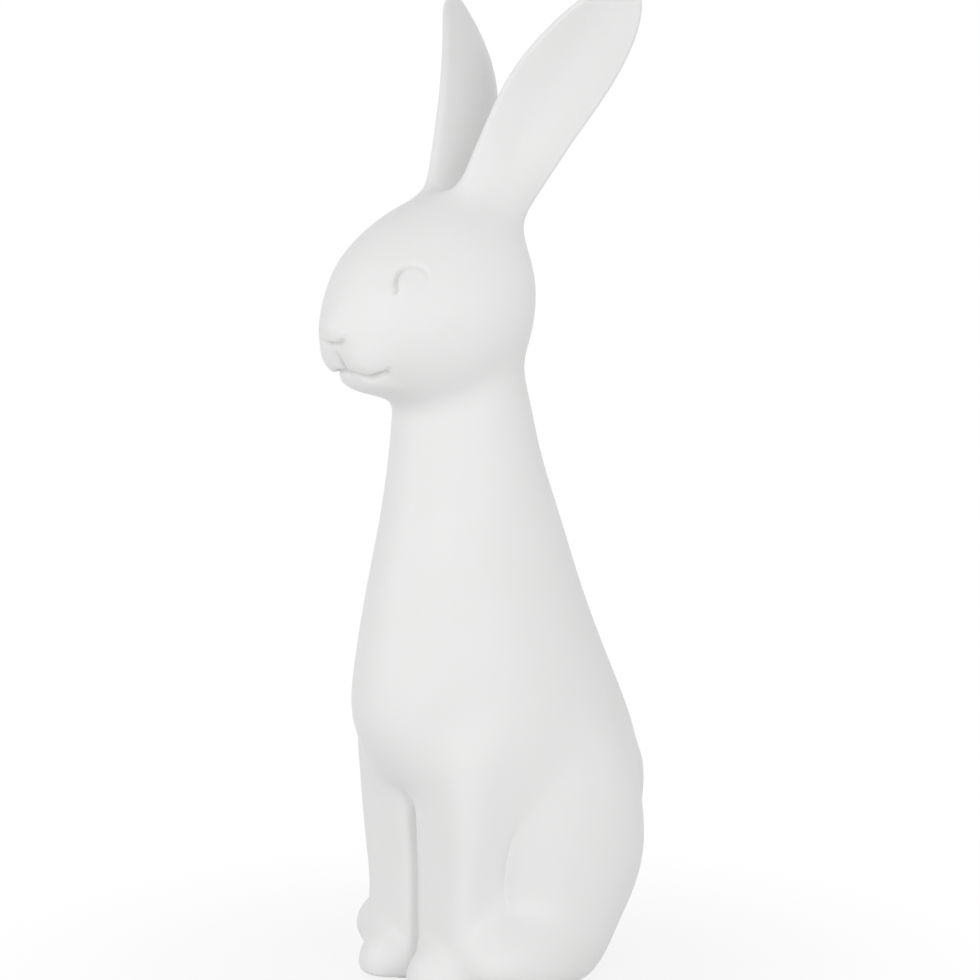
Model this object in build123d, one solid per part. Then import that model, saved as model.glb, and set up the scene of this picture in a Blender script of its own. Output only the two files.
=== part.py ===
from build123d import *
from math import cos, pi, sin
import os

# A tall sitting rabbit ornament, slip cast in sections that are luted together and glazed.
# Millimetres. It looks along -Y, its left side is +X, and it stands on felt pads at Z = 0.

# Clay and felt
wall = 5.0
slip_gap = 0.3
base_thickness = 6.0
vent_diameter = 10.0
pad_thickness = 2.0
pad_diameter = 14.0

# Torso and neck, from the sole to the neck rim
torso_height = 256.0
torso_depth = 126.5
torso_width = 86.0

# Head, from nose to nape, chin to crown, and cheek to cheek
head_length = 89.0
head_height = 84.4
head_width = 74.4

# Ear blade: its width and thickness, and how far the tip lies out, back and up from the root
ear_width = 37.2
ear_thickness = 17.0
ear_spread = 49.0
ear_sweep = 38.5
ear_rise = 100.5
ear_turn = 72.0

# Foreleg with its paw
foreleg_height = 102.0
foreleg_width = 33.0
foreleg_depth = 38.5

# Haunch, hind foot and tail
haunch_width = 47.0
haunch_depth = 68.0
haunch_height = 114.0
haunch_lean = 8.0
foot_width = 30.0
foot_length = 50.0
foot_height = 36.0
foot_splay = 10.0
tail_width = 26.0
tail_depth = 24.0
tail_height = 28.0

# Cuts run past the faces that they open by this much
overrun = 10.0

# Torso sections: height, front, back and half width, as shares of the torso's own sizes
torso_shares = [
    (0.000, -0.100, 0.300, 0.370),
    (0.070, -0.117, 0.429, 0.407),
    (0.168, -0.140, 0.532, 0.448),
    (0.234, -0.204, 0.567, 0.471),
    (0.297, -0.330, 0.571, 0.488),
    (0.352, -0.405, 0.547, 0.500),
    (0.414, -0.429, 0.504, 0.500),
    (0.500, -0.421, 0.429, 0.477),
    (0.617, -0.381, 0.334, 0.424),
    (0.734, -0.336, 0.249, 0.372),
    (0.832, -0.304, 0.178, 0.337),
    (0.930, -0.285, 0.128, 0.314),
    (1.000, -0.275, 0.085, 0.302),
]

# Head sections from nose to nape: distance along, underside, widest level, top, half width
head_shares = [
    (0.017, 0.287, 0.379, 0.483, 0.108),
    (0.067, 0.213, 0.385, 0.613, 0.208),
    (0.179, 0.130, 0.397, 0.790, 0.325),
    (0.329, 0.047, 0.412, 0.900, 0.426),
    (0.500, 0.000, 0.437, 0.976, 0.496),
    (0.671, 0.013, 0.469, 1.000, 0.500),
    (0.821, 0.064, 0.495, 0.938, 0.435),
    (0.933, 0.203, 0.512, 0.802, 0.296),
    (0.983, 0.359, 0.519, 0.669, 0.153),
]
nose_level_share = 0.377
nape_level_share = 0.520

# Ear sections from root to tip: distance along, half width, half thickness, dish of the open side
ear_shares = [
    (0.00, 0.350, 0.500, 0.00),
    (0.12, 0.358, 0.476, 0.00),
    (0.25, 0.387, 0.440, 0.20),
    (0.37, 0.452, 0.410, 0.42),
    (0.50, 0.500, 0.380, 0.55),
    (0.62, 0.490, 0.360, 0.58),
    (0.74, 0.446, 0.306, 0.56),
    (0.85, 0.366, 0.240, 0.46),
    (0.93, 0.260, 0.170, 0.25),
    (0.98, 0.142, 0.090, 0.00),
]
ear_out_bend_share = 0.75
ear_back_bend_share = -0.20

# Foreleg sections from sole to shoulder: height, front, back, centre from the middle, half width
foreleg_shares = [
    (0.00, 0.010, 0.948, 0.500, 0.455),
    (0.10, 0.025, 0.948, 0.500, 0.465),
    (0.20, 0.165, 0.948, 0.500, 0.480),
    (0.30, 0.216, 0.948, 0.500, 0.485),
    (0.40, 0.221, 0.948, 0.500, 0.485),
    (0.50, 0.198, 0.955, 0.505, 0.490),
    (0.60, 0.160, 0.965, 0.520, 0.505),
    (0.70, 0.130, 0.975, 0.540, 0.525),
    (0.80, 0.110, 0.985, 0.555, 0.540),
    (0.90, 0.110, 0.995, 0.550, 0.535),
    (1.00, 0.130, 1.000, 0.515, 0.500),
]

# Places on the torso, as shares of its width, depth and height
nose_reach_share = 0.572
chin_level_share = 0.906
paw_reach_share = 0.362
haunch_place_shares = (0.326, 0.184, 0.188)
foot_place_shares = (0.442, -0.045, 0.039)
tail_place_shares = (0.000, 0.453, 0.102)

# Place of an ear root on the head, as shares of the head's width, length and height
ear_root_shares = (0.141, 0.691, 0.800)

# Place of a rear pad on the base plate, as shares of the plate's half width and half depth
rear_pad_shares = (0.45, 0.40)

half_oval_steps = 8
X = Vector(1, 0, 0)
Y = Vector(0, 1, 0)
Z = Vector(0, 0, 1)
sole_z = pad_thickness
neck_z = sole_z + torso_height
chin_z = sole_z + torso_height * chin_level_share
nose_y = -torso_depth * nose_reach_share


def half_oval(centre, side, rise, half_side, reach, dish_share, start):
    """Half of a closed section, over half a turn from the start angle."""
    turns = [start + pi * step / half_oval_steps for step in range(half_oval_steps + 1)]
    points = []
    for turn in turns:
        height = reach * sin(turn) * (1 - 2 * dish_share * sin(turn) ** 2)
        points.append(centre + side * (half_side * cos(turn)) + rise * height)
    ends = [rise * (reach * cos(turn)) for turn in (turns[0], turns[-1])]
    return Edge.make_spline(points, tangents=ends, parameters=turns, scale=False)


def oval(centre, side, rise, half_side, above, below, dish_share=0):
    """Closed section with its own reach above and below the centre, dished above if asked."""
    upper = half_oval(centre, side, rise, half_side, above, dish_share, 0)
    lower = half_oval(centre, side, rise, half_side, below, 0, pi)
    return Wire([upper, lower])


def run_past(rows, height):
    """Rows with one more at each end, an overrun beyond the last and on the same slope."""
    ends = []
    for end, inner in ((rows[0], rows[1]), (rows[-1], rows[-2])):
        run = overrun / (height * abs(end[0] - inner[0]))
        ends.append(tuple(near + (near - far) * run for near, far in zip(end, inner)))
    return [ends[0]] + rows + [ends[1]]


def torso_section(shares, grow):
    """One oval of the torso, grown all round."""
    height_share, front_share, back_share, half_width_share = shares
    front = torso_depth * front_share - grow
    back = torso_depth * back_share + grow
    half_depth = (back - front) / 2
    centre = Vector(0, (front + back) / 2, sole_z + torso_height * height_share)
    return oval(centre, X, Y, torso_width * half_width_share + grow, half_depth, half_depth)


def torso_form(grow):
    """Torso and neck as one full body that runs past the sole and the neck rim."""
    rows = run_past(torso_shares, torso_height)
    return Solid.make_loft([torso_section(row, grow) for row in rows])


def head_form(grow):
    """Head as one full body, rounded to a point at the nose and at the nape."""
    length = head_length + 2 * grow
    start = nose_y - grow
    sections = [Vertex(0, start, chin_z + head_height * nose_level_share)]
    for along, low, middle, top, half_width in head_shares:
        centre = Vector(0, start + length * along, chin_z + head_height * middle)
        above = head_height * (top - middle) + grow
        below = head_height * (middle - low) + grow
        sections.append(oval(centre, X, Z, head_width * half_width + grow, above, below))
    sections.append(Vertex(0, start + length, chin_z + head_height * nape_level_share))
    return Solid.make_loft(sections)


def ear_form(grow):
    """Left ear blade, bent outwards and dished on the side that it opens to."""
    width_share, length_share, height_share = ear_root_shares
    root = Vector(
        head_width * width_share,
        nose_y + head_length * length_share,
        chin_z + head_height * height_share,
    )
    chord = Vector(ear_spread, ear_sweep, ear_rise).normalized()
    opening = X.rotate(Axis.Z, ear_turn - 90)
    across = chord.cross(opening).normalized()
    opening = across.cross(chord)
    sections = []
    for along, half_width, half_thickness, dish in ear_shares:
        out_share = along * (1 - ear_out_bend_share + ear_out_bend_share * along)
        back_share = along * (1 - ear_back_bend_share + ear_back_bend_share * along)
        centre = root + Vector(ear_spread * out_share, ear_sweep * back_share, ear_rise * along)
        thick = ear_thickness * half_thickness + grow
        sections.append(oval(centre, across, opening, ear_width * half_width + grow, thick, thick, dish))
    sections.append(Vertex(*(root + Vector(ear_spread, ear_sweep, ear_rise))))
    return Solid.make_loft(sections)


def foreleg_section(shares, grow):
    """One oval of the left foreleg, grown all round."""
    height_share, front_share, back_share, middle_share, half_width_share = shares
    paw_front = -torso_depth * paw_reach_share
    front = paw_front + foreleg_depth * front_share - grow
    back = paw_front + foreleg_depth * back_share + grow
    half_depth = (back - front) / 2
    level = sole_z + foreleg_height * height_share
    centre = Vector(foreleg_width * middle_share, (front + back) / 2, level)
    return oval(centre, X, Y, foreleg_width * half_width_share + grow, half_depth, half_depth)


def foreleg_form(grow):
    """Left foreleg with its paw, running past the sole below and into the chest above."""
    rows = run_past(foreleg_shares, foreleg_height)
    return Solid.make_loft([foreleg_section(row, grow) for row in rows])


def ellipsoid(width, depth, height, grow):
    """Ball drawn out to three sizes, grown all round."""
    return scale(Sphere(1), by=(width / 2 + grow, depth / 2 + grow, height / 2 + grow))


def on_torso(place_shares):
    """Location at a place on the torso, given as shares of its width, depth and height."""
    width_share, depth_share, height_share = place_shares
    return Pos(torso_width * width_share, torso_depth * depth_share, sole_z + torso_height * height_share)


def haunch_form(grow):
    """Left thigh, leaning back."""
    ball = ellipsoid(haunch_width, haunch_depth, haunch_height, grow)
    return on_torso(haunch_place_shares) * Rot(-haunch_lean, 0, 0) * ball


def foot_form(grow):
    """Left hind foot, splayed a little outwards."""
    ball = ellipsoid(foot_width, foot_length, foot_height, grow)
    return on_torso(foot_place_shares) * Rot(0, 0, foot_splay) * ball


def above_sole(form):
    """The part of a form above the flat sole."""
    return split(form, bisect_by=Plane.XY.offset(sole_z), keep=Keep.TOP)


def largest(form):
    """The main solid of a trimmed form."""
    return max(form.solids(), key=lambda solid: solid.volume)


# Hollow torso, open at the foot and at the neck rim
torso_seat = torso_form(slip_gap)
torso_shell = above_sole(torso_form(0) - torso_form(-wall))
torso_shell = largest(split(torso_shell, bisect_by=Plane.XY.offset(neck_z), keep=Keep.BOTTOM))

# Hollow head, with the neck socket and the ear slots
ear_left = ear_form(0)
ear_right = mirror(ear_left, about=Plane.YZ)
ear_slot = ear_form(slip_gap)
head_shell = head_form(0) - head_form(-wall) - torso_seat - ear_slot
head_shell = largest(head_shell - mirror(ear_slot, about=Plane.YZ))

# Forelegs, seated on the chest
foreleg_left = largest(above_sole(foreleg_form(0) - torso_seat))
foreleg_seat = foreleg_form(slip_gap)

# Haunches, seated on the flanks behind the forelegs
haunch_left = largest(above_sole(haunch_form(0) - torso_seat - foreleg_seat))

# Hind feet, seated under the haunches
foot_left = largest(above_sole(foot_form(0) - torso_seat - foreleg_seat - haunch_form(slip_gap)))

# Tail, seated on the rump
tail = largest(on_torso(tail_place_shares) * ellipsoid(tail_width, tail_depth, tail_height, 0) - torso_seat)

# Slab that closes the foot of the torso, with its vent hole
plate_outline = torso_section(torso_shares[0], -wall - slip_gap)
plate_box = plate_outline.bounding_box()
plate_middle = plate_box.center()
base_plate = extrude(Face(plate_outline), amount=base_thickness, dir=(0, 0, 1))
base_plate = largest(base_plate - Pos(plate_middle) * Cylinder(vent_diameter / 2, 2 * base_thickness + overrun))

# Felt discs under the forepaws and under the back of the base plate
paw_middle = foreleg_section(foreleg_shares[0], 0).bounding_box().center()
rear_across = plate_box.size.X / 2 * rear_pad_shares[0]
rear_along = plate_middle.Y + plate_box.size.Y / 2 * rear_pad_shares[1]
pad = Pos(0, 0, pad_thickness / 2) * Cylinder(pad_diameter / 2, pad_thickness)
felt_pads = []
for side in (1, -1):
    felt_pads.append(Pos(side * paw_middle.X, paw_middle.Y, 0) * pad)
    felt_pads.append(Pos(side * rear_across, rear_along, 0) * pad)

nodes = {
    "torso_shell": torso_shell,
    "head_shell": head_shell,
    "ear_left": ear_left,
    "ear_right": ear_right,
    "foreleg_left": foreleg_left,
    "foreleg_right": mirror(foreleg_left, about=Plane.YZ),
    "haunch_left": haunch_left,
    "haunch_right": mirror(haunch_left, about=Plane.YZ),
    "hind_foot_left": foot_left,
    "hind_foot_right": mirror(foot_left, about=Plane.YZ),
    "tail": tail,
    "base_plate": base_plate,
    "felt_pads": Compound(felt_pads),
}

os.makedirs("parts", exist_ok=True)
for name, piece in nodes.items():
    export_step(piece, f"parts/{name}.step")
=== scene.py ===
import math

import bmesh
import bpy
import numpy as np
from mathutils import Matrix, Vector


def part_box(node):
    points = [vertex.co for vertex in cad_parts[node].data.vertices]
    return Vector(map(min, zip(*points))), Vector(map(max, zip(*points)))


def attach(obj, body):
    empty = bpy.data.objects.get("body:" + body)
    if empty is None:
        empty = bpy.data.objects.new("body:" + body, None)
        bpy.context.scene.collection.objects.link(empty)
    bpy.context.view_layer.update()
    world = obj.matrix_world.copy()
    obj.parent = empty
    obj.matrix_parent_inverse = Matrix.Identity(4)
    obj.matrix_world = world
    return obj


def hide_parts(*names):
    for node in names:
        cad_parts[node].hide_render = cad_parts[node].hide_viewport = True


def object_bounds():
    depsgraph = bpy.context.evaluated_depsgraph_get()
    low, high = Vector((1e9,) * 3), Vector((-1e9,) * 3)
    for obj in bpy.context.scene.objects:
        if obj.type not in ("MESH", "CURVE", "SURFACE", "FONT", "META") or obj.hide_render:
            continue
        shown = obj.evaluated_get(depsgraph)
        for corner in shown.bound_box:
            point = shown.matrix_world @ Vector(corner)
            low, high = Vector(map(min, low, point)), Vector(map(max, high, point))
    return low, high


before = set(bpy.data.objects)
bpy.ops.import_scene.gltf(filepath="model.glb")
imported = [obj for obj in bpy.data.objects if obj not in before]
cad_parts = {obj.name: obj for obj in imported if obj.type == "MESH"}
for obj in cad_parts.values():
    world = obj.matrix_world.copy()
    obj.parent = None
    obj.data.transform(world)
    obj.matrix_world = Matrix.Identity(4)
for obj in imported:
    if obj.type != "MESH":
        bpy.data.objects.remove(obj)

cad_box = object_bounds()

# Torso and neck: one tall slip-cast shell of white earthenware, full at chest and rump.
# It narrows to a neck that is socketed in the head. The seams are sponged away before firing,
# so every form below is drawn as a distance to its surface and luted to its neighbours.
MM = 0.001


def box_mm(node):
    """Lowest and highest corner of a CAD node, in millimetres."""
    low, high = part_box(node)
    return np.array(low) / MM, np.array(high) / MM


def run(at, stations, values):
    """Smooth run through given stations, as a bent spline lies, held level past its ends."""
    stations = np.asarray(stations, float)
    values = np.asarray(values, float)
    gaps = np.diff(stations)
    climbs = np.diff(values) / gaps
    ties = np.eye(len(stations))
    pulls = np.zeros(len(stations))
    for k in range(1, len(gaps)):
        ties[k, k - 1:k + 2] = gaps[k - 1], 2 * (gaps[k - 1] + gaps[k]), gaps[k]
        pulls[k] = 6 * (climbs[k] - climbs[k - 1])
    bends = np.linalg.solve(ties, pulls)
    at = np.clip(at, stations[0], stations[-1])
    step = np.clip(np.searchsorted(stations, at, side="right") - 1, 0, len(gaps) - 1)
    gap = gaps[step]
    past = (at - stations[step]) / gap
    ahead = 1 - past
    level = ahead * values[step] + past * values[step + 1]
    sag = (ahead ** 3 - ahead) * bends[step] + (past ** 3 - past) * bends[step + 1]
    return level + sag * gap ** 2 / 6


def lute(first, second, fillet):
    """Two forms joined, with a soft fillet of slip in the crease."""
    near = np.maximum(fillet - np.abs(first - second), 0) / fillet
    return np.minimum(first, second) - near ** 3 * fillet / 6


def trim(first, second, edge):
    """What two forms share, with the edge rounded over."""
    return -lute(-first, -second, edge)


def mirrored(p):
    """Points folded over to the left side."""
    return np.stack([np.abs(p[:, 0]), p[:, 1], p[:, 2]], 1)


torso_low, torso_high = box_mm("torso_shell")
torso_size = torso_high - torso_low
sole_z = torso_low[2]
torso_shares = np.array([  # shares of height, front, back and half width
    (0.000, -0.100, 0.250, 0.338),
    (0.070, -0.117, 0.415, 0.400),
    (0.168, -0.130, 0.532, 0.448),
    (0.234, -0.170, 0.575, 0.471),
    (0.297, -0.282, 0.595, 0.488),
    (0.324, -0.337, 0.588, 0.496),
    (0.352, -0.381, 0.567, 0.500),
    (0.383, -0.416, 0.547, 0.501),
    (0.414, -0.437, 0.522, 0.500),
    (0.500, -0.431, 0.440, 0.477),
    (0.617, -0.388, 0.339, 0.424),
    (0.734, -0.336, 0.253, 0.372),
    (0.832, -0.304, 0.182, 0.337),
    (0.930, -0.285, 0.130, 0.314),
    (1.000, -0.275, 0.085, 0.302),
])
torso_levels = sole_z + torso_size[2] * torso_shares[:, 0]
neck_overlap = 7
neck_top_z = torso_high[2] + neck_overlap
neck_round = 20
torso_core_share = 0.05  # nearer the middle than this the distance is held level
torso_slack = 0.93  # the walls lean, so the distance is taken shorter


def torso(p):
    """Torso and neck."""
    x, y, z = p.T
    front = run(z, torso_levels, torso_size[1] * torso_shares[:, 1])
    back = run(z, torso_levels, torso_size[1] * torso_shares[:, 2])
    half_width = run(z, torso_levels, torso_size[0] * torso_shares[:, 3])
    y = y - (front + back) / 2
    half_depth = (back - front) / 2
    share = np.maximum(np.hypot(x / half_width, y / half_depth), torso_core_share)
    clear = np.maximum(np.hypot(x, y), torso_core_share * half_width) * (1 - 1 / share)
    return trim(torso_slack * clear, z - neck_top_z, neck_round)


def on_torso(across_share, along_share, up_share):
    """A place given as shares of the torso's width, depth and height."""
    return np.array([0, 0, sole_z]) + torso_size * (across_share, along_share, up_share)


# Forelegs: two straight solid legs, cast with their paws and luted side by side under the chest.
# Their outer sides run on into the shoulders, and only the inner tops keep a soft crease.
# A web of clay is left between them, so the slot is a shallow groove above the paws.
leg_levels = [0, 20, 30, 45, 65, 85, 100, 115, 130]
leg_insides = [2.2, 2.2, 2.2, 2.2, 2.2, 2.0, 2.0, 3.0, 4.0]
leg_outsides = [33.5, 33.5, 34.5, 36.8, 39.4, 41.6, 41, 34.5, 20]
leg_fronts = [-34.5, -34.5, -34.5, -34.5, -35.7, -37.4, -37, -29, -14]
leg_backs = [-6, -9, -11, -12.5, -10, 2, 4, 4, 4]
leg_outer_squareness = [3.8, 3.8, 3.8, 3.8, 3.6, 3.2, 2.7, 2.2, 2.0]
leg_rear_squareness = 6
leg_inner_squareness = 7
leg_top_z = 128
leg_top_round = 10
paw_middle = (17, -28.8, 6)
paw_radii = (15, 17, 15)
paw_fillet = 8
web_middle = (0, -14, 40)
web_halves = (6, 15, 50)
least_slope = 1e-9  # keeps a division from failing at the very middle of a form


def ball(p, middle, radii, turned=None):
    """Ball drawn out to three radii, with its own axes as the columns of turned."""
    p = p - np.asarray(middle, float)
    if turned is not None:
        p = p @ turned
    radii = np.asarray(radii, float)
    share = np.linalg.norm(p / radii, axis=1)
    slope = np.linalg.norm(p / radii ** 2, axis=1)
    return share * (share - 1) / np.maximum(slope, least_slope)


def foreleg(p):
    """One foreleg with its paw, on the left."""
    x, y, z = p.T
    inside = run(z, leg_levels, leg_insides)
    outside = run(z, leg_levels, leg_outsides)
    front = run(z, leg_levels, leg_fronts)
    back = run(z, leg_levels, leg_backs)
    half_width = (outside - inside) / 2
    half_depth = (back - front) / 2
    x = x - (outside + inside) / 2
    y = y - (back + front) / 2
    square = run(z, leg_levels, leg_outer_squareness)
    rearward = (1 + np.clip(y / half_depth, -1, 1)) / 2
    square = square + (leg_rear_squareness - square) * rearward ** 2
    inward = (1 - np.clip(x / half_width, -1, 1)) / 2
    square = square + (leg_inner_squareness - square) * inward ** 2
    share = (np.abs(x / half_width) ** square + np.abs(y / half_depth) ** square) ** (1 / square)
    column = (share - 1) * np.minimum(half_width, half_depth)
    column = trim(column, z - leg_top_z, leg_top_round)
    return lute(column, ball(p, paw_middle, paw_radii), paw_fillet)


def web(p):
    """Block of clay between the forelegs."""
    across, along, up = np.abs(p - web_middle).T - np.array(web_halves)[:, None]
    return np.maximum(np.maximum(across, along), up)


# Haunches, hind feet and tail: solid balls of clay pressed out of small moulds.
# The haunch is luted to the flank with a narrow fillet that leaves its edge to be seen low down.
# The hind foot is blended broadly into the haunch, and the tail sits on the rump.
haunch_middle = on_torso(0.322, 0.192, 0.211)
haunch_half_width = 22.8
haunch_fore_radius = 41
haunch_rear_radius = 34
haunch_stations = [-30, 0, 30]
haunch_upper_radii = [72, 61, 54]
haunch_lower_radii = [66, 55, 39]
haunch_lean = math.radians(-2)
foot_middle = on_torso(0.407, 0.010, 0.053)
foot_radii = (17, 33.5, 17)
foot_splay = math.radians(14)
tail_middle = on_torso(0, 0.453, 0.102)
tail_radii = (13, 12, 14)
leaned = np.array([
    (1, 0, 0),
    (0, math.cos(haunch_lean), -math.sin(haunch_lean)),
    (0, math.sin(haunch_lean), math.cos(haunch_lean)),
])
splayed = np.array([
    (math.cos(foot_splay), -math.sin(foot_splay), 0),
    (math.sin(foot_splay), math.cos(foot_splay), 0),
    (0, 0, 1),
])


def haunch(p):
    """One haunch, on the left."""
    along = (p - haunch_middle) @ leaned
    radii = np.stack([
        np.full(len(p), haunch_half_width),
        np.where(along[:, 1] < 0, haunch_fore_radius, haunch_rear_radius),
        np.where(
            along[:, 2] < 0,
            run(along[:, 1], haunch_stations, haunch_lower_radii),
            run(along[:, 1], haunch_stations, haunch_upper_radii),
        ),
    ], 1)
    return ball(p, haunch_middle, radii, leaned)


def hind_foot(p):
    """One hind foot, on the left."""
    return ball(p, foot_middle, foot_radii, splayed)


def tail(p):
    """The tail."""
    return ball(p, tail_middle, tail_radii)


# Head: a hollow cast egg, pointed at the nose, that stands on the neck rim.
# The muzzle pads and the lower lip are pressed on and blended while the clay is soft.
head_front_y = -72.2
head_back_y = 16.8
head_stations = [-73.2, -70.8, -66, -62.8, -58, -50.8, -27.2, -4.8, 9.2, 16.8]
head_rises = [33, 34, 39, 42, 43, 43, 45.5, 48.5, 49, 49]
head_drops = [16, 17, 21, 27, 31, 32, 37, 44, 52, 52]
head_half_widths = [31, 31, 31, 31, 31.5, 32.4, 37, 41, 44, 44]
head_middles_z = [264.1, 264.2, 264.8, 265.4, 265.8, 266.6, 270.2, 274.7, 277, 278.2]
nose_middle = (0, -61.5, 265.8)
nose_radii = (11, 10.5, 8)
pad_middle = (8.0, -57.0, 256.0)
pad_radii = (11.5, 11, 10)
lip_middle = (0, -52.5, 245.2)
lip_radii = (14, 7.9, 4.2)
nose_fillet = 5
muzzle_fillet = 7
cheek_middle = (33.5, -38.4, 272.5)
cheek_rise = 0.8
cheek_radius = 7


def head(p):
    """Head with its muzzle and cheeks, before the face is drawn."""
    x, y, z = p.T
    half_length = (head_back_y - head_front_y) / 2
    along = (y - (head_back_y + head_front_y) / 2) / half_length
    half_width = run(y, head_stations, head_half_widths)
    up = z - run(y, head_stations, head_middles_z)
    half_height = np.where(up > 0, run(y, head_stations, head_rises), run(y, head_stations, head_drops))
    share = np.sqrt(along ** 2 + (x / half_width) ** 2 + (up / half_height) ** 2)
    slope = np.sqrt(
        (along / half_length) ** 2
        + (x / half_width ** 2) ** 2
        + (up / half_height ** 2) ** 2
    )
    clear = share * (share - 1) / np.maximum(slope, least_slope)
    q = mirrored(p)
    clear = clear - cheek_rise * np.exp(-((q - cheek_middle) ** 2).sum(1) / cheek_radius ** 2)
    clear = lute(clear, ball(p, nose_middle, nose_radii), nose_fillet)
    clear = lute(clear, ball(q, pad_middle, pad_radii), muzzle_fillet)
    return lute(clear, ball(p, lip_middle, lip_radii), muzzle_fillet)


# Face: lines drawn into the leather-hard clay with a blunt tool, so they have soft shoulders.
# An arched lid over each eye, a fold under the nose, the split of the lip and a smile.
# Each line is points on the left side with the depth of the tool, and it is the same on the right.
eye_arch = [
    ((22.6, -55.9, 278.4), 0.0),
    ((22.4, -55.7, 280.3), 1.5),
    ((21.3, -55.0, 284.1), 1.8),
    ((21.1, -53.2, 287.4), 1.6),
    ((21.8, -50.7, 289.4), 1.1),
    ((24.1, -47.1, 289.7), 0.5),
    ((27.1, -44.5, 286.9), 0.6),
    ((28.2, -45.1, 283.1), 0.0),
]
nose_fold = [
    ((0.0, -71.0, 258.9), 1.8),
    ((2.5, -70.2, 258.9), 1.9),
    ((6.1, -70.2, 260.0), 1.8),
    ((8.7, -70.2, 262.3), 0.2),
]
lip_split = [
    ((0.0, -67.5, 256.2), 0.2),
    ((0.0, -66.7, 254.8), 0.9),
    ((0.0, -64.7, 251.2), 1.7),
    ((0.0, -62.7, 248.1), 1.6),
]
smile = [
    ((0.0, -62.7, 248.1), 1.4),
    ((7.1, -63.6, 247.5), 2.2),
    ((11.2, -61.0, 246.3), 2.8),
    ((15.6, -58.8, 247.6), 2.8),
    ((17.5, -57.1, 248.6), 2.6),
    ((18.6, -56.9, 249.8), 0.8),
]
line_widths = [1.1, 1.3, 1.4, 1.4]
eyeball_middle = (23.6, -52.0, 282.6)
eyeball_rise = 0.9
eyeball_radius = 4.4
face_low = np.array([-34, -84, 240])
face_high = np.array([34, -38, 300])
mark_spacing = 0.3
mark_settle_rounds = 3
feel_reach = 0.15
least_steepness = 1e-6  # the same guard for the square of a slope


def feel(form, p):
    """Distance from a form at each point, and the direction in which it grows."""
    clear = np.zeros(len(p))
    slope = np.zeros_like(p)
    sides = ((1, -1, -1), (-1, -1, 1), (-1, 1, -1), (1, 1, 1))
    for side in sides:
        here = form(p + feel_reach * np.array(side))
        clear += here / len(sides)
        slope += here[:, None] * side / (len(sides) * feel_reach)
    return clear, slope


def settle(form, p, rounds):
    """Points moved on to a form's surface."""
    for _ in range(rounds):
        clear, slope = feel(form, p)
        steepness = (slope ** 2).sum(1, keepdims=True)
        p = p - clear[:, None] * slope / np.maximum(steepness, least_steepness)
    return p


def tool_line(marks, form):
    """Closely spaced points of a drawn line, laid on the form's surface, and their depths."""
    points = np.array([point for point, depth in marks])
    depths = np.array([depth for point, depth in marks])
    legs = np.linalg.norm(np.diff(points, axis=0), axis=1)
    stations = np.concatenate([[0], np.cumsum(legs)])
    at = np.arange(0, stations[-1], mark_spacing)
    line = np.stack([run(at, stations, points[:, axis]) for axis in range(3)], 1)
    return settle(form, line, mark_settle_rounds), np.interp(at, stations, depths)


tool_lines = [tool_line(marks, head) for marks in (eye_arch, nose_fold, lip_split, smile)]


def tool_cut(p, clear):
    """How far the tool takes the head's surface in at each point, given its distance from the head."""
    taken = np.zeros(len(p))
    near = np.all((p > face_low) & (p < face_high), axis=1)
    q = mirrored(p[near])
    cut = np.zeros(len(q))
    for (line, depths), width in zip(tool_lines, line_widths):
        gap = np.full(len(q), np.inf)
        depth = np.zeros(len(q))
        for point, here in zip(line, depths):
            distance = ((q - point) ** 2).sum(1)
            nearer = distance < gap
            gap[nearer] = distance[nearer]
            depth[nearer] = here
        along = np.maximum(gap - clear[near] ** 2, 0)
        cut = np.maximum(cut, depth * np.exp(-along / width ** 2))
    taken[near] = cut
    return taken


def eyeball(p):
    """How far the eyes stand out under their lids."""
    spread = ((mirrored(p) - eyeball_middle) ** 2).sum(1) / eyeball_radius ** 2
    return eyeball_rise * np.exp(-spread)


# Ears: two long cast blades, tenoned into the crown and leaning apart.
# Each is folded softly along its length, hollow on the side that it opens to and ridged behind.
# The rim is sponged to a small round.
ear_axis = np.array([
    (10.5, -11, 300),
    (16, 1, 326),
    (23, 12, 350),
    (39, 23, 375),
    (61, 29, 397),
])
ear_half_widths = [13.5, 16, 18.3, 19.3, 19.3]
ear_half_thicknesses = [8.5, 6.5, 5, 4.5, 4.5]
ear_edge_round = 1.6
ear_turn = math.radians(78)
ear_closing_share = 0.5
ear_root_round = 8
ear_fold = 7
fold_place_share = -0.1
fold_softness = 0.35
fold_middle = 0.4
fold_start_share = 0.05
fold_full_share = 0.4
fold_slack = 0.85  # the fold tilts the blade, so the distance is taken shorter
ear_chord = ear_axis[-1] - ear_axis[0]
ear_length = np.linalg.norm(ear_chord)
ear_chord = ear_chord / ear_length
ear_shares = (ear_axis - ear_axis[0]) @ ear_chord / ear_length
ear_open = np.array([math.sin(ear_turn), -math.cos(ear_turn), 0])
ear_open = ear_open - ear_chord * (ear_open @ ear_chord)
ear_open = ear_open / np.linalg.norm(ear_open)
ear_across = np.cross(ear_chord, ear_open)


def ease(share):
    """A share from 0 to 1 with a soft start and end."""
    return share * share * (3 - 2 * share)


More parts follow.
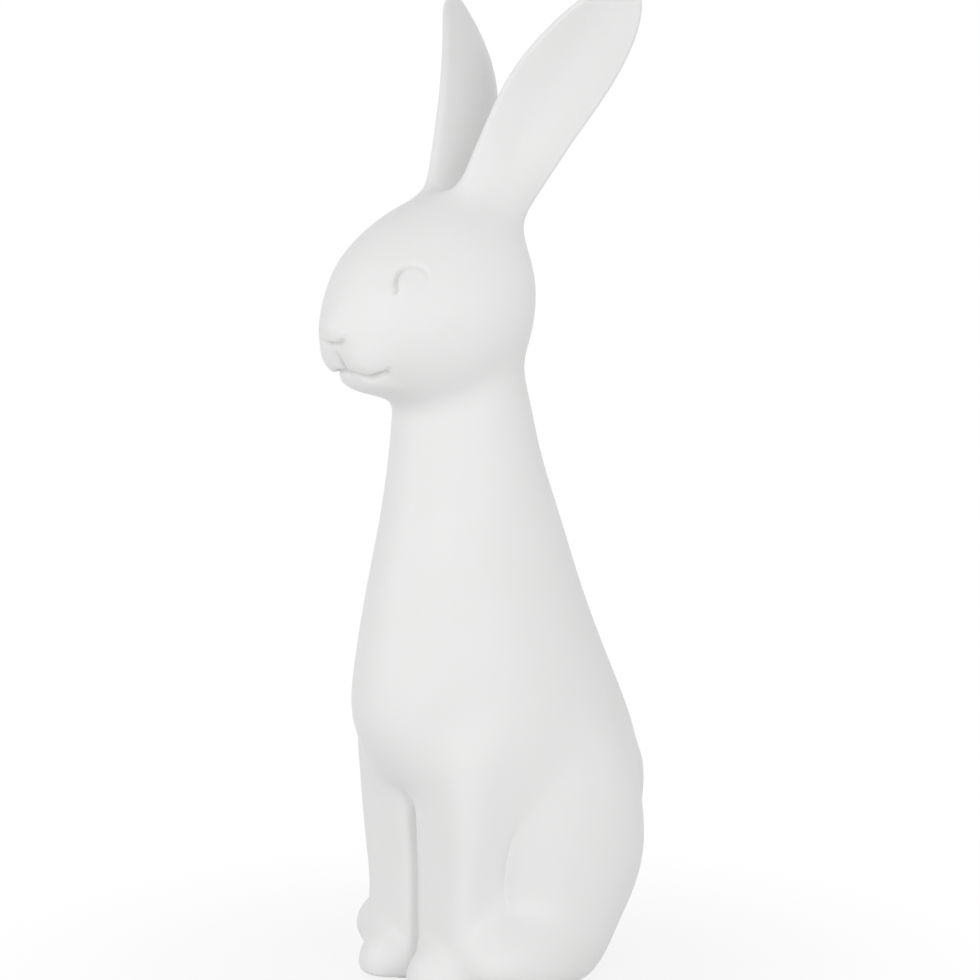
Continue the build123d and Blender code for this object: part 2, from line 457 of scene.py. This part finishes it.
def ear(p):
    """One ear, on the left."""
    share = (p - ear_axis[0]) @ ear_chord / ear_length
    middle = np.stack([run(share, ear_shares, ear_axis[:, axis]) for axis in range(3)], 1)
    half_width = run(share, ear_shares, ear_half_widths)
    half_thickness = run(share, ear_shares, ear_half_thicknesses)
    across = (p - middle) @ ear_across
    bent = np.hypot(across / half_width - fold_place_share, fold_softness) - fold_softness - fold_middle
    rising = np.clip((share - fold_start_share) / (fold_full_share - fold_start_share), 0, 1)
    out = (p - middle) @ ear_open - ear_fold * ease(rising) * bent
    closing_length = (1 - ear_closing_share) * ear_length
    closing = np.maximum(share - ear_closing_share, 0) * ear_length / closing_length
    radius = np.hypot(closing, across / half_width)
    slope = np.hypot(closing / closing_length, across / half_width ** 2)
    beyond = radius * (radius - 1) / np.maximum(slope, least_slope)
    swell = (half_thickness - ear_edge_round) * np.clip(1 - radius ** 2, 0, 1)
    clear = np.hypot(np.maximum(beyond + ear_edge_round, 0), out) - ear_edge_round - swell
    return fold_slack * trim(clear, -share * ear_length, ear_root_round)


# Glazed body: the forms above, luted together, fettled and dipped in one white glaze.
# It is fired as one piece, so the skin runs on over every joint, and each form keeps its own part of it.
inner_crease = 5
outer_crease = 16
crease_reach = 16
haunch_fillets = [1.2, 7]
haunch_fillet_levels = [58, 100]
foot_fillet = 20
tail_fillet = 5
leg_fillet = 1.5
web_fillet = 2
ear_fillet = 14
neck_fillet = 10
foot_round = 4
plate_low, plate_high = box_mm("base_plate")
recess_play = 0.3
hollow_radii = (20, 16, 34)
hollow_height_share = 0.8


def recess(p):
    """Seat of the base plate in the foot, with the hollow above it that the vent opens to."""
    middle = (plate_low + plate_high) / 2
    half = (plate_high - plate_low) / 2 + recess_play
    x, y, z = p.T
    wall = (np.hypot((x - middle[0]) / half[0], (y - middle[1]) / half[1]) - 1) * half[1]
    seat = np.maximum(wall, z - plate_high[2] - recess_play)
    hollow_z = plate_high[2] + hollow_radii[2] * hollow_height_share
    hollow = ball(p, (middle[0], middle[1], hollow_z), hollow_radii)
    return np.minimum(seat, hollow)


def figure(p):
    """The whole glazed body."""
    q = mirrored(p)
    opposite = q * (-1, 1, 1)
    legs = lute(foreleg(q), foreleg(opposite), leg_fillet)
    legs = lute(legs, web(q), web_fillet)
    outer_share = ease(np.clip(q[:, 0] / crease_reach, 0, 1))
    crease = inner_crease + (outer_crease - inner_crease) * outer_share
    body = lute(torso(p), legs, crease)
    body = lute(body, haunch(q), np.interp(p[:, 2], haunch_fillet_levels, haunch_fillets))
    body = lute(body, hind_foot(q), foot_fillet)
    body = lute(body, tail(p), tail_fillet)
    bare = head(p)
    crown = lute(bare + tool_cut(p, bare) - eyeball(p), ear(q), ear_fillet)
    body = lute(body, crown, neck_fillet)
    body = trim(body, sole_z - p[:, 2], foot_round)
    return np.maximum(body, -recess(p))


net_step = 1.6
net_margin = 5
coarse = 4  # a first look at every fourth point finds where the surface runs
band = 12  # points within this distance of it are then worked out one by one


def surface_nets(form, low, high, step):
    """Four-sided net over a form's surface, one point to each cell that it crosses."""
    axes = [np.arange(a, b + step, step) for a, b in zip(low, high)]
    grid = np.stack(np.meshgrid(*axes, indexing="ij"), -1)
    sparse = grid[::coarse, ::coarse, ::coarse]
    clear = form(sparse.reshape(-1, 3)).reshape(sparse.shape[:3])
    for axis in range(3):
        clear = np.repeat(clear, coarse, axis)
    clear = np.roll(clear, (-coarse // 2,) * 3, (0, 1, 2))[tuple(slice(n) for n in grid.shape[:3])]
    near = np.abs(clear) < band
    clear[near] = form(grid[near])
    inside = clear < 0
    cells = np.array(clear.shape) - 1
    total = np.zeros((*cells, 3))
    count = np.zeros(cells)
    for corner in np.ndindex(2, 2, 2):
        for axis in range(3):
            if corner[axis]:
                continue
            other = np.array(corner) + np.eye(3, dtype=int)[axis]
            a = clear[tuple(slice(c, c + n) for c, n in zip(corner, cells))]
            b = clear[tuple(slice(c, c + n) for c, n in zip(other, cells))]
            crossed = (a < 0) != (b < 0)
            share = np.where(crossed, a / np.where(crossed, a - b, 1), 0)
            for k in range(3):
                total[..., k] += np.where(crossed, corner[k] + (share if k == axis else 0), 0)
            count += crossed
    used = count > 0
    index = np.full(cells, -1)
    index[used] = np.arange(used.sum())
    points = np.argwhere(used) + total[used] / count[used][:, None]
    points = points * step + np.array([axis[0] for axis in axes])
    faces = []
    for axis in range(3):
        first = np.moveaxis(inside, axis, 0)[:-1]
        changed = np.moveaxis(first != np.moveaxis(inside, axis, 0)[1:], 0, axis)
        first = np.moveaxis(first, 0, axis)
        here = np.argwhere(changed)
        u, v = np.eye(3, dtype=int)[[(axis + 1) % 3, (axis + 2) % 3]]
        ring = [index[tuple((here - shift).T)] for shift in (u + v, v, 0 * u, u)]
        ring = np.stack(ring, 1)
        starts_inside = first[tuple(here.T)]
        ring[~starts_inside] = ring[~starts_inside][:, ::-1]
        faces.append(ring)
    return points, np.concatenate(faces)


settle_rounds = 2
net_low = np.array(cad_box[0]) / MM - net_margin
net_high = np.array(cad_box[1]) / MM + net_margin
points, faces = surface_nets(figure, net_low, net_high, net_step)
points = settle(figure, points, settle_rounds)


def outward(p):
    """Unit normals of the glazed body at points on it."""
    slope = feel(figure, p)[1]
    return slope / np.linalg.norm(slope, axis=1, keepdims=True)


detail_rounds = 2
detail_turn = math.radians(16)
detail_spots = [  # middle and radius of the places that need a finer net
    ((24, -50, 287), 12),
    ((0, -68, 258), 22),
    ((12, -58, 250), 14),
    ((36, -15, 36), 9),
    ((36, -16, 50), 9),
]
body_mesh = bmesh.new()
for point in points:
    body_mesh.verts.new(point)
body_mesh.verts.ensure_lookup_table()
for face in faces:
    body_mesh.faces.new([body_mesh.verts[k] for k in face])
for _ in range(detail_rounds):
    places = np.array([vert.co for vert in body_mesh.verts])
    lie = outward(places)
    body_mesh.verts.index_update()
    body_mesh.edges.ensure_lookup_table()
    ends = np.array([[vert.index for vert in edge.verts] for edge in body_mesh.edges])
    split = (lie[ends[:, 0]] * lie[ends[:, 1]]).sum(1) < math.cos(detail_turn)
    edge_middles = mirrored(places[ends].mean(1))
    for spot, radius in detail_spots:
        split |= ((edge_middles - spot) ** 2).sum(1) < radius ** 2
    wanted = {
        edge
        for number in np.flatnonzero(split)
        for face in body_mesh.edges[number].link_faces
        for edge in face.edges
    }
    bmesh.ops.subdivide_edges(body_mesh, edges=list(wanted), cuts=1, use_grid_fill=True)
bmesh.ops.triangulate(body_mesh, faces=body_mesh.faces[:])
bmesh.ops.recalc_face_normals(body_mesh, faces=body_mesh.faces[:])
body_mesh.verts.index_update()
points = np.array([vert.co for vert in body_mesh.verts])
faces = np.array([[vert.index for vert in face.verts] for face in body_mesh.faces])
edges = np.array([[vert.index for vert in edge.verts] for edge in body_mesh.edges])
body_mesh.free()

relax_rounds = 3
relax_share = 0.5
for _ in range(relax_rounds):
    total = np.zeros_like(points)
    count = np.zeros(len(points))
    for a, b in ((0, 1), (1, 0)):
        np.add.at(total, edges[:, a], points[edges[:, b]])
        np.add.at(count, edges[:, a], 1)
    pull = total / count[:, None] - points
    lie = outward(points)
    pull -= (pull * lie).sum(1, keepdims=True) * lie
    points = settle(figure, points + relax_share * pull, 1)
points = settle(figure, points, settle_rounds)
normals = outward(points)
# Painted shade: the deeper a tool line cuts, the greyer the glaze is painted there.
groove_shade_depth = 2.4
painted_groove_shade = np.clip(tool_cut(points, head(points)) / groove_shade_depth, 0, 1) ** 2


def linear(colour):
    """An sRGB hex colour as linear red, green, blue and alpha."""
    parts = [int(colour[k:k + 2], 16) / 255 for k in (1, 3, 5)]
    return [c / 12.92 if c <= 0.04045 else ((c + 0.055) / 1.055) ** 2.4 for c in parts] + [1]


def add_node(tree, kind, settings=None, links=None):
    """A node with its settings and input values, linked from other nodes' sockets."""
    node = tree.nodes.new(kind)
    for name, value in (settings or {}).items():
        if isinstance(name, str) and hasattr(node, name):
            setattr(node, name, value)
        else:
            node.inputs[name].default_value = value
    for name, source in (links or {}).items():
        tree.links.new(source, node.inputs[name])
    return node


def new_material(name):
    """An empty node material and its tree."""
    material = bpy.data.materials.new(name)
    material.use_nodes = True
    material.node_tree.nodes.clear()
    return material, material.node_tree


# White tin glaze over earthenware, dipped and fired to a satin gloss: a soft broad sheen,
# faint cloudiness where the coat is thicker, and the least ripple, too fine to break an edge.
# Painted shade makes it a little greyer in the tool lines, which draws the face.
glaze_thick = "#F1F1F1"
glaze_thin = "#EEEEED"
# Grey of the painted shade in the tool lines.
glaze_painted_shade = "#D6D5D4"
cloud_size = 0.030
ripple_size = 0.0035
glaze, tree = new_material("satin_white_tin_glaze")
place = add_node(tree, "ShaderNodeTexCoord")
cloud = add_node(
    tree, "ShaderNodeTexNoise",
    {"Scale": 1 / cloud_size, "Detail": 3.0, "Roughness": 0.5},
    {"Vector": place.outputs["Object"]},
)
tone = add_node(
    tree, "ShaderNodeMix",
    {"data_type": "RGBA", 6: linear(glaze_thick), 7: linear(glaze_thin)},
    {0: cloud.outputs["Fac"]},
)
# Painted shade mixed into the glaze colour along the tool lines.
groove_shade_mask = add_node(tree, "ShaderNodeAttribute", {"attribute_name": "painted_groove_shade"})
tone = add_node(
    tree, "ShaderNodeMix",
    {"data_type": "RGBA", 7: linear(glaze_painted_shade)},
    {0: groove_shade_mask.outputs["Fac"], 6: tone.outputs[2]},
)
gloss = add_node(
    tree, "ShaderNodeMapRange",
    {"From Min": 0.3, "From Max": 0.7, "To Min": 0.40, "To Max": 0.48},
    {"Value": cloud.outputs["Fac"]},
)
ripple = add_node(
    tree, "ShaderNodeTexNoise",
    {"Scale": 1 / ripple_size, "Detail": 2.0},
    {"Vector": place.outputs["Object"]},
)
relief = add_node(
    tree, "ShaderNodeBump",
    {"Strength": 0.05, "Distance": 0.0003},
    {"Height": ripple.outputs["Fac"]},
)
coat = add_node(
    tree, "ShaderNodeBsdfPrincipled",
    {"IOR": 1.5, "Specular IOR Level": 0.35},
    {"Base Color": tone.outputs[2], "Roughness": gloss.outputs[0], "Normal": relief.outputs[0]},
)
add_node(tree, "ShaderNodeOutputMaterial", {}, {"Surface": coat.outputs[0]})


def own_parts(p):
    """For each point, the number in form_nodes of the form whose surface it lies on."""
    q = mirrored(p)
    clear = np.stack([
        torso(p), head(p), ear(q), foreleg(q), haunch(q), hind_foot(q), tail(p),
    ], 1)
    return clear.argmin(1)


skin_thickness = 0.6
form_nodes = [
    ("torso_shell",),
    ("head_shell",),
    ("ear_left", "ear_right"),
    ("foreleg_left", "foreleg_right"),
    ("haunch_left", "haunch_right"),
    ("hind_foot_left", "hind_foot_right"),
    ("tail",),
]


def skin_piece(name, own_faces):
    """Closed shell of one form's part of the skin: its face, the same again inside, and the rim."""
    used, flat = np.unique(own_faces, return_inverse=True)
    outer = flat.reshape(-1, 3)
    corners = np.concatenate([points[used], points[used] - skin_thickness * normals[used]]) * MM
    sides = np.concatenate([outer[:, [0, 1]], outer[:, [1, 2]], outer[:, [2, 0]]])
    known = set(map(tuple, sides.tolist()))
    rim = np.array([side for side in sides.tolist() if (side[1], side[0]) not in known])
    inner = outer[:, ::-1] + len(used)
    under = rim + len(used)
    joins = np.concatenate([
        np.stack([rim[:, 1], rim[:, 0], under[:, 0]], 1),
        np.stack([rim[:, 1], under[:, 0], under[:, 1]], 1),
    ])
    tris = np.concatenate([outer, inner, joins])
    mesh = bpy.data.meshes.new(name)
    mesh.from_pydata(corners.tolist(), [], tris.tolist())
    mesh.polygons.foreach_set("use_smooth", [True] * len(mesh.polygons))
    lie = np.zeros((len(tris), 3, 3))
    lie[:len(outer)] = normals[used][outer]
    mesh.normals_split_custom_set(lie.reshape(-1, 3).tolist())
    # Strength of the painted shade in the tool lines, carried to the glaze.
    groove_shade_values = mesh.attributes.new("painted_groove_shade", "FLOAT", "POINT")
    groove_shade_values.data.foreach_set("value", np.tile(painted_groove_shade[used], 2))
    mesh.materials.append(glaze)
    piece = bpy.data.objects.new(name, mesh)
    bpy.context.scene.collection.objects.link(piece)
    return piece


middles = points[faces].mean(1)
own = own_parts(middles)
for number, names in enumerate(form_nodes):
    for side, node in enumerate(names):
        mine = own == number
        if len(names) == 2:
            mine &= (middles[:, 0] < 0) == bool(side)
        piece = skin_piece(node + "_glazed", faces[mine])
        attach(piece, "root")
        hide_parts(node)

# Base plate: a slab of the same clay, cut to the foot and luted in after casting.
# It is left bare, so it shows a dry, faintly sandy cream body round the vent hole.
clay_pale = "#E2DCD0"
clay_dark = "#D3CABB"
grog_size = 0.0009
wipe_size = 0.012
clay, tree = new_material("bare_fired_earthenware")
place = add_node(tree, "ShaderNodeTexCoord")
wipe = add_node(
    tree, "ShaderNodeTexNoise",
    {"Scale": 1 / wipe_size, "Detail": 4.0},
    {"Vector": place.outputs["Object"]},
)
grog = add_node(
    tree, "ShaderNodeTexVoronoi",
    {"Scale": 1 / grog_size},
    {"Vector": place.outputs["Object"]},
)
tone = add_node(
    tree, "ShaderNodeMix",
    {"data_type": "RGBA", 6: linear(clay_pale), 7: linear(clay_dark)},
    {0: wipe.outputs["Fac"]},
)
relief = add_node(
    tree, "ShaderNodeBump",
    {"Strength": 0.3, "Distance": 0.0002},
    {"Height": grog.outputs["Distance"]},
)
body = add_node(
    tree, "ShaderNodeBsdfPrincipled",
    {"Roughness": 0.85},
    {"Base Color": tone.outputs[2], "Normal": relief.outputs[0]},
)
add_node(tree, "ShaderNodeOutputMaterial", {}, {"Surface": body.outputs[0]})
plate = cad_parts["base_plate"]
for held in plate.material_slots:
    held.material = clay

# Felt pads: discs punched from pressed wool felt, glued under the forepaws and the plate.
# The punch leaves a faintly rounded edge, and loose fibres cloud the face.
felt_low, felt_high = box_mm("felt_pads")
pad_height = felt_high[2] - felt_low[2]
pad_radius = 7
rear_pad_share = 0.45
felt_pale = "#CFCBC4"
felt_dark = "#B4AFA6"
fibre_size = 0.0006
felt, tree = new_material("pressed_wool_felt")
place = add_node(tree, "ShaderNodeTexCoord")
fibre = add_node(
    tree, "ShaderNodeTexNoise",
    {"Scale": 1 / fibre_size, "Detail": 6.0, "Roughness": 0.7, "Distortion": 1.5},
    {"Vector": place.outputs["Object"]},
)
tone = add_node(
    tree, "ShaderNodeMix",
    {"data_type": "RGBA", 6: linear(felt_pale), 7: linear(felt_dark)},
    {0: fibre.outputs["Fac"]},
)
relief = add_node(
    tree, "ShaderNodeBump",
    {"Strength": 0.5, "Distance": 0.0003},
    {"Height": fibre.outputs["Fac"]},
)
wool = add_node(
    tree, "ShaderNodeBsdfPrincipled",
    {"Roughness": 0.95, "Sheen Weight": 0.3},
    {"Base Color": tone.outputs[2], "Normal": relief.outputs[0]},
)
add_node(tree, "ShaderNodeOutputMaterial", {}, {"Surface": wool.outputs[0]})

paw_pad_x = felt_high[0] - pad_radius
paw_pad_y = felt_low[1] + pad_radius
rear_pad_y = felt_high[1] - pad_radius
rear_pad_x = (plate_high[0] - plate_low[0]) / 2 * rear_pad_share
pad_places = bpy.data.meshes.new("pad_places")
pad_places.from_pydata(
    [
        (side * x * MM, y * MM, pad_height / 2 * MM)
        for side in (1, -1)
        for x, y in ((paw_pad_x, paw_pad_y), (rear_pad_x, rear_pad_y))
    ], [], [],
)
pads = bpy.data.objects.new("felt_pad_discs", pad_places)
bpy.context.scene.collection.objects.link(pads)
tree = bpy.data.node_groups.new("punched_felt", "GeometryNodeTree")
tree.interface.new_socket("Geometry", in_out="INPUT", socket_type="NodeSocketGeometry")
radius_input = tree.interface.new_socket("Radius", in_out="INPUT", socket_type="NodeSocketFloat")
depth_input = tree.interface.new_socket("Depth", in_out="INPUT", socket_type="NodeSocketFloat")
tree.interface.new_socket("Geometry", in_out="OUTPUT", socket_type="NodeSocketGeometry")
given = add_node(tree, "NodeGroupInput")
disc = add_node(
    tree, "GeometryNodeMeshCylinder",
    {"Vertices": 64, "Side Segments": 3, "Fill Segments": 6},
    {"Radius": given.outputs["Radius"], "Depth": given.outputs["Depth"]},
)
spread = add_node(
    tree, "GeometryNodeInstanceOnPoints", {},
    {"Points": given.outputs["Geometry"], "Instance": disc.outputs["Mesh"]},
)
real = add_node(tree, "GeometryNodeRealizeInstances", {}, {"Geometry": spread.outputs[0]})
faced = add_node(tree, "GeometryNodeSetMaterial", {"Material": felt}, {"Geometry": real.outputs[0]})
add_node(tree, "NodeGroupOutput", {}, {"Geometry": faced.outputs[0]})
punch = pads.modifiers.new("punched_felt", "NODES")
punch.node_group = tree
punch[radius_input.identifier] = pad_radius * MM
punch[depth_input.identifier] = pad_height * MM
bpy.context.view_layer.update()
pads.data = bpy.data.meshes.new_from_object(pads.evaluated_get(bpy.context.evaluated_depsgraph_get()))
pads.modifiers.clear()
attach(pads, "root")
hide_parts("felt_pads")

# Floor: a sweep of pale paper, wide enough to fill the picture.
# It keeps a soft shadow near the figure and is plain white beyond.
floor_half = 3.0
paper_colour = "#ECECEC"
fade_start = 0.05
fade_end = 0.25
shadow_fade = 0.83
floor_mesh = bpy.data.meshes.new("floor")
floor_mesh.from_pydata(
    [(x * floor_half, y * floor_half, 0) for x, y in ((-1, -1), (1, -1), (1, 1), (-1, 1))],
    [], [(0, 1, 2, 3)],
)
floor = bpy.data.objects.new("floor", floor_mesh)
bpy.context.scene.collection.objects.link(floor)


def backdrop_rays(tree):
    """Socket that is 1 for rays that show the background: camera, glossy and transmission rays."""
    ray = add_node(tree, "ShaderNodeLightPath")
    seen = ray.outputs["Is Camera Ray"]
    for other in ("Is Glossy Ray", "Is Transmission Ray"):
        either = add_node(
            tree, "ShaderNodeMath",
            {"operation": "MAXIMUM"},
            {0: seen, 1: ray.outputs[other]},
        )
        seen = either.outputs[0]
    return seen


# Matt white paper that shows a faint shadow near the figure.
# Further out it fades to a plain white that takes no shadow.
sweep, tree = new_material("white_paper_sweep")
place = add_node(tree, "ShaderNodeTexCoord")
away = add_node(tree, "ShaderNodeVectorMath", {"operation": "LENGTH"}, {0: place.outputs["Object"]})
fade = add_node(
    tree, "ShaderNodeMapRange",
    {
        "interpolation_type": "SMOOTHSTEP",
        "From Min": fade_start, "From Max": fade_end, "To Min": shadow_fade, "To Max": 1.0,
    },
    {"Value": away.outputs["Value"]},
)
plain = add_node(
    tree, "ShaderNodeMath",
    {"operation": "MULTIPLY"},
    {0: backdrop_rays(tree), 1: fade.outputs[0]},
)
paper = add_node(tree, "ShaderNodeBsdfDiffuse", {"Color": linear(paper_colour)})
white = add_node(tree, "ShaderNodeEmission", {"Strength": 1.0})
shown = add_node(
    tree, "ShaderNodeMixShader", {},
    {0: plain.outputs[0], 1: paper.outputs[0], 2: white.outputs[0]},
)
add_node(tree, "ShaderNodeOutputMaterial", {}, {"Surface": shown.outputs[0]})
floor_mesh.materials.append(sweep)

# Light: a white studio with broad soft boxes round the figure's front and left side.
# The box at the side is kept off the right ear by the left one, which shades that ear.
studio_fill = 0.59
white_light = (1, 1, 1, 1)
world = bpy.data.worlds.new("studio")
bpy.context.scene.world = world
world.use_nodes = True
tree = world.node_tree
tree.nodes.clear()
fill = add_node(tree, "ShaderNodeBackground", {"Color": white_light, "Strength": studio_fill})
backdrop = add_node(tree, "ShaderNodeBackground", {"Color": white_light, "Strength": 1.0})
shown = add_node(
    tree, "ShaderNodeMixShader", {},
    {0: backdrop_rays(tree), 1: fill.outputs[0], 2: backdrop.outputs[0]},
)
add_node(tree, "ShaderNodeOutputWorld", {}, {"Surface": shown.outputs[0]})
soft_boxes = [  # name, bearing and height in degrees, side in metres and power
    ("soft_box_front", -20, 15, 1.0, 4.3),
    ("soft_box_middle", 40, 15, 1.0, 3.3),
    ("soft_box_side", 86, 10, 1.0, 5.2),
]
box_distance = 1.6
aim = np.array([0, 0.00725, 0.198])


def from_figure(bearing, height, distance):
    """A place at a bearing and height in degrees from the middle of the figure, 0 being its front."""
    azimuth = math.radians(bearing)
    elevation = math.radians(height)
    way = np.array([
        math.sin(azimuth) * math.cos(elevation),
        -math.cos(azimuth) * math.cos(elevation),
        math.sin(elevation),
    ])
    return aim + way * distance


def facing(place):
    """Turn of a lamp or camera at a place that looks at the middle of the figure."""
    return Vector(place - aim).to_track_quat("Z", "Y").to_euler()


for name, bearing, height, side, power in soft_boxes:
    light = bpy.data.lights.new(name, "AREA")
    light.shape = "SQUARE"
    light.size = side
    light.energy = power
    lamp = bpy.data.objects.new(name, light)
    lamp.location = from_figure(bearing, height, box_distance)
    lamp.rotation_euler = facing(np.array(lamp.location))
    bpy.context.scene.collection.objects.link(lamp)

# Camera: a long lens at three-quarter front, a little above the figure.
# The lens is shifted, so the figure stands a few pixels right of the middle.
picture_side = 980
focal_pixels = 2797
middle_pixels = 5
camera_bearing = 54
camera_height = 6.2
camera_distance = 1.13
camera_place = from_figure(camera_bearing, camera_height, camera_distance)
camera_data = bpy.data.cameras.new("camera")
camera_data.sensor_width = 36
camera_data.lens = focal_pixels / picture_side * camera_data.sensor_width
camera_data.shift_x = -middle_pixels / picture_side
camera = bpy.data.objects.new("camera", camera_data)
camera.location = camera_place
camera.rotation_euler = facing(camera_place)
bpy.context.scene.collection.objects.link(camera)
bpy.context.scene.camera = camera
bpy.context.scene.view_settings.view_transform = "Standard"

# Scene brought up to date.
bpy.context.view_layer.update()
